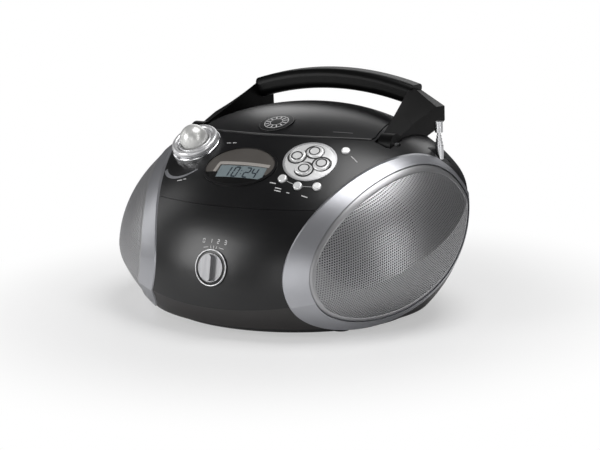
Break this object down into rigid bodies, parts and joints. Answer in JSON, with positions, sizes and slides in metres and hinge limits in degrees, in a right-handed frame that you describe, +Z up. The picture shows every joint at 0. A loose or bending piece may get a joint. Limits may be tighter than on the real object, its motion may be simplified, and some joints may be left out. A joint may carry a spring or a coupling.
{
  "type": "portable cd radio",
  "caption": "Egg-shaped portable CD radio leaning back on its foot, with two oval grilled speaker pods, a lift-up disc lid, oval display, ball volume control, swing handle and telescopic aerial",
  "frame": {"origin": "on the floor under the middle of the body", "axes": "+Z up, front faces -Y, +X to the right of someone facing the front"},
  "size_m": [0.35, 0.2764, 0.2122],
  "materials": {
    "silver_trim": "satin metallic silver paint",
    "grille_silver": "perforated, satin",
    "black_gloss": "piano black",
    "black_matte": "fine grain",
    "chrome_trim": "bright",
    "clear_display": "grey-green liquid crystal panel",
    "taupe_plate": "satin",
    "rubber": "matt",
    "steel": "plain",
    "cone_paper": "black coated",
    "ferrite": "matt",
    "circuit_board": "green solder mask"
  },
  "bodies": {
    "case": {"bottom_cabinet": "black_gloss", "top_cabinet": "black_gloss", "front_panel": "black_gloss", "rear_cover": "black_gloss", "bezel_left": "silver_trim", "bezel_right": "silver_trim", "grille_left": "grille_silver", "grille_right": "grille_silver", "speaker_baffles": "black_matte", "speaker_baskets": "steel", "speaker_cones": "cone_paper", "speaker_magnets": "ferrite", "foot_tray": "black_matte", "rubber_feet": "rubber", "case_screws": "steel", "mains_inlet": "black_matte", "battery_bay": "black_matte", "main_board": "circuit_board", "power_transformer": "ferrite", "cd_deck": "black_matte", "drive_frame": "steel", "spindle_motor": "steel", "sled_rods": "steel", "lid_catch": "black_matte", "hinge_pins": "steel", "handle_pins": "steel", "display_ring": "black_gloss", "display_plate": "taupe_plate", "lcd_module": "clear_display", "pad_ring": "black_gloss", "pad_plate": "chrome_trim", "control_board": "circuit_board", "volume_seat": "black_gloss", "volume_pot": "steel", "selector_ring": "chrome_trim", "selector_switch": "black_matte", "aerial_socket": "black_matte", "aerial_tube": "chrome_trim"},
    "lid": {"cd_lid": "black_gloss", "lid_badge": "chrome_trim"},
    "clamp": {"disc_clamp": "black_matte"},
    "handle": {"handle": "black_gloss"},
    "volume": {"volume_collar": "chrome_trim", "volume_ball": "chrome_trim"},
    "selector": {"selector_knob": "chrome_trim"},
    "door": {"battery_door": "black_gloss"},
    "platter": {"turntable": "black_matte"},
    "sled": {"pickup_sled": "black_matte"},
    "up": {"up_button": "chrome_trim"},
    "down": {"down_button": "chrome_trim"},
    "left": {"left_button": "chrome_trim"},
    "right": {"right_button": "chrome_trim"},
    "menu": {"menu_button": "chrome_trim"},
    "memory": {"memory_button": "chrome_trim"},
    "mode": {"mode_button": "chrome_trim"},
    "program": {"program_button": "chrome_trim"},
    "aerial_1": {"aerial_section_1": "chrome_trim"},
    "aerial_2": {"aerial_section_2": "chrome_trim"},
    "aerial_3": {"aerial_section_3": "chrome_trim"},
    "aerial_4": {"aerial_section_4": "chrome_trim"}
  },
  "joints": [
    {"name": "lid_hinge", "type": "hinge", "parent": "case", "child": "lid", "pos_m": [0, 0.0836, 0.171], "axis": [-1, 0, 0], "range_deg": [0, 48]},
    {"name": "handle_swing", "type": "hinge", "parent": "case", "child": "handle", "pos_m": [0, 0.008, 0.156], "axis": [1, 0, 0], "range_deg": [0, 87]},
    {"name": "volume_turn", "type": "hinge", "parent": "case", "child": "volume", "pos_m": [-0.069, -0.04998, 0.15696], "axis": [0, -0.5, 0.866], "range_deg": [-150, 150]},
    {"name": "selector_turn", "type": "hinge", "parent": "case", "child": "selector", "pos_m": [0, -0.13216, 0.06396], "axis": [0, -0.9773, 0.2119], "range_deg": [-20, 40]},
    {"name": "battery_door_off", "type": "slide", "parent": "case", "child": "door", "axis": [0, 1, 0], "range_m": [0, 0.08]},
    {"name": "turntable_spin", "type": "hinge", "parent": "case", "child": "platter", "pos_m": [0, 0.022, 0.158], "axis": [0, -0.0872, 0.9962], "continuous": true},
    {"name": "clamp_spin", "type": "hinge", "parent": "lid", "child": "clamp", "pos_m": [0, 0.022, 0.158], "axis": [0, -0.0872, 0.9962], "continuous": true},
    {"name": "sled_travel", "type": "slide", "parent": "case", "child": "sled", "axis": [0, -0.9962, -0.0872], "range_m": [-0.006, 0.018]},
    {"name": "up_press", "type": "slide", "parent": "case", "child": "up", "axis": [-0.2029, 0.5132, -0.8339], "range_m": [0, 0.001], "stiffness_N_per_m": 250},
    {"name": "down_press", "type": "slide", "parent": "case", "child": "down", "axis": [-0.2029, 0.5132, -0.8339], "range_m": [0, 0.001], "stiffness_N_per_m": 250},
    {"name": "left_press", "type": "slide", "parent": "case", "child": "left", "axis": [-0.2029, 0.5132, -0.8339], "range_m": [0, 0.001], "stiffness_N_per_m": 250},
    {"name": "right_press", "type": "slide", "parent": "case", "child": "right", "axis": [-0.2029, 0.5132, -0.8339], "range_m": [0, 0.001], "stiffness_N_per_m": 250},
    {"name": "menu_press", "type": "slide", "parent": "case", "child": "menu", "axis": [-0.1522, 0.6292, -0.7622], "range_m": [0, 0.001], "stiffness_N_per_m": 250},
    {"name": "memory_press", "type": "slide", "parent": "case", "child": "memory", "axis": [-0.21, 0.6393, -0.7398], "range_m": [0, 0.001], "stiffness_N_per_m": 250},
    {"name": "mode_press", "type": "slide", "parent": "case", "child": "mode", "axis": [-0.2684, 0.6138, -0.7424], "range_m": [0, 0.001], "stiffness_N_per_m": 250},
    {"name": "program_press", "type": "slide", "parent": "case", "child": "program", "axis": [-0.2869, 0.3956, -0.8724], "range_m": [0, 0.001], "stiffness_N_per_m": 250},
    {"name": "aerial_extend", "type": "slide", "parent": "case", "child": "aerial_1", "axis": [0, 0, 1], "range_m": [0, 0.1]},
    {"name": "aerial_extend_2", "type": "slide", "parent": "aerial_1", "child": "aerial_2", "axis": [0, 0, 1], "range_m": [0, 0.1]},
    {"name": "aerial_extend_3", "type": "slide", "parent": "aerial_2", "child": "aerial_3", "axis": [0, 0, 1], "range_m": [0, 0.1]},
    {"name": "aerial_extend_4", "type": "slide", "parent": "aerial_3", "child": "aerial_4", "axis": [0, 0, 1], "range_m": [0, 0.1]}
  ],
  "couplings": [
    {"joint": "aerial_extend_2", "follows": "aerial_extend", "ratio": 1},
    {"joint": "aerial_extend_3", "follows": "aerial_extend", "ratio": 1},
    {"joint": "aerial_extend_4", "follows": "aerial_extend", "ratio": 1}
  ]
}
